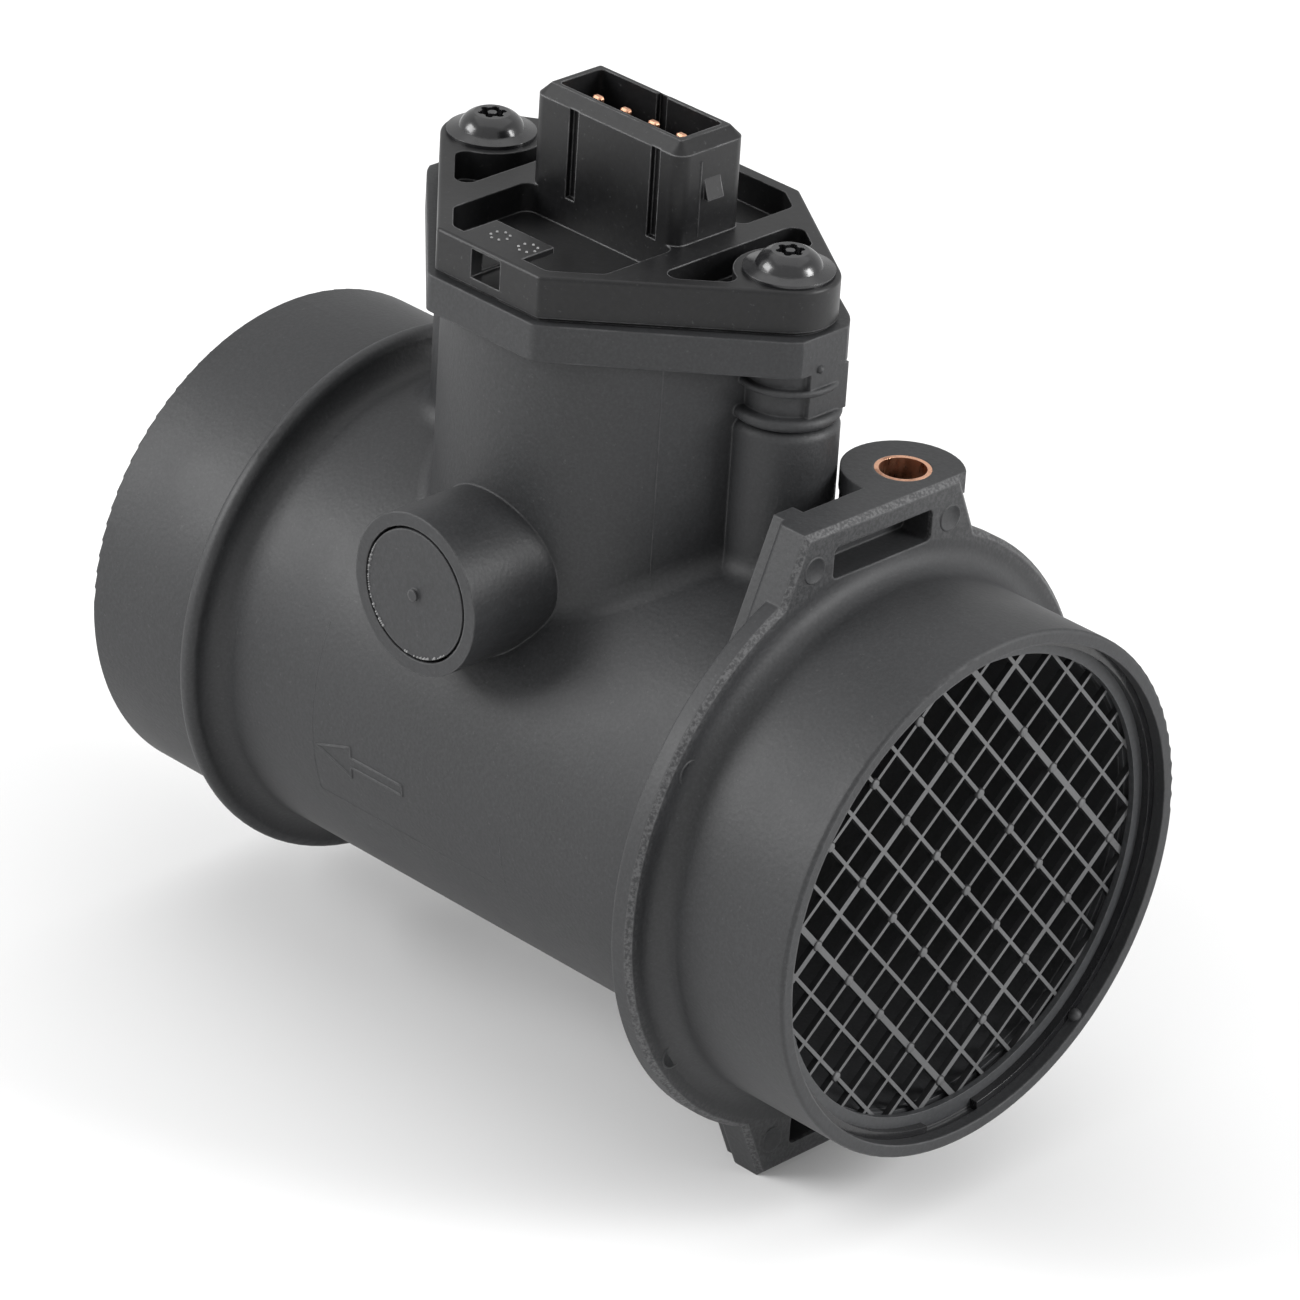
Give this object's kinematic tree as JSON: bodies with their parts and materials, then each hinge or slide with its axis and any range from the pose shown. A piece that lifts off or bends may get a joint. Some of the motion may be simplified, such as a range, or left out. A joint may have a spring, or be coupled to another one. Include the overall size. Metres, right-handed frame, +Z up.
{
  "type": "mass airflow sensor",
  "caption": "Tubular air sensor with hose necks, a screened inlet, clip brackets, a probe across the duct and a screwed-down cover with a keyed connector.",
  "frame": {"origin": "on the duct's axis, at the middle of the inlet hose neck between its rim and the flange", "axes": "+X along the duct, out of the inlet (air runs towards -X); +Z up through the sensor tower and the connector; +Y towards the ear's side, away from the side stub"},
  "size_m": [0.1303, 0.083, 0.1318],
  "materials": {
    "housing_plastic": "fine moulded grain, satin",
    "cover_plastic": "smoother moulding, semi-gloss",
    "screen_plastic": "satin moulding",
    "carrier_plastic": "smooth moulding",
    "screw_metal": "black coated steel, glossy",
    "ring_steel": "black coated spring steel",
    "terminal_metal": "plated copper alloy, satin",
    "bushing_metal": "copper-coloured metal, satin",
    "insert_brass": "turned",
    "seal_rubber": "matt",
    "plate_aluminium": "brushed",
    "board_ceramic": "ceramic, matt",
    "element_ceramic": "ceramic, matt",
    "bead_epoxy": "coated bead on plated leads"
  },
  "bodies": {
    "root": {"housing": "housing_plastic", "stub_plug": "housing_plastic", "ear_bushing": "bushing_metal", "screen_frame": "screen_plastic", "inlet_screen": "screen_plastic", "retaining_ring": "ring_steel", "sensor_cover": "cover_plastic", "contact_pin_1": "terminal_metal", "contact_pin_2": "terminal_metal", "contact_pin_3": "terminal_metal", "contact_pin_4": "terminal_metal", "cover_screw_1": "screw_metal", "cover_screw_2": "screw_metal", "threaded_insert_1": "insert_brass", "threaded_insert_2": "insert_brass", "cover_gasket": "seal_rubber", "sensor_carrier": "carrier_plastic", "carrier_seal": "seal_rubber", "heat_sink": "plate_aluminium", "circuit_board": "board_ceramic", "board_lid": "carrier_plastic", "hot_film_element": "element_ceramic", "air_temp_sensor": "bead_epoxy"}
  },
  "joints": []
}
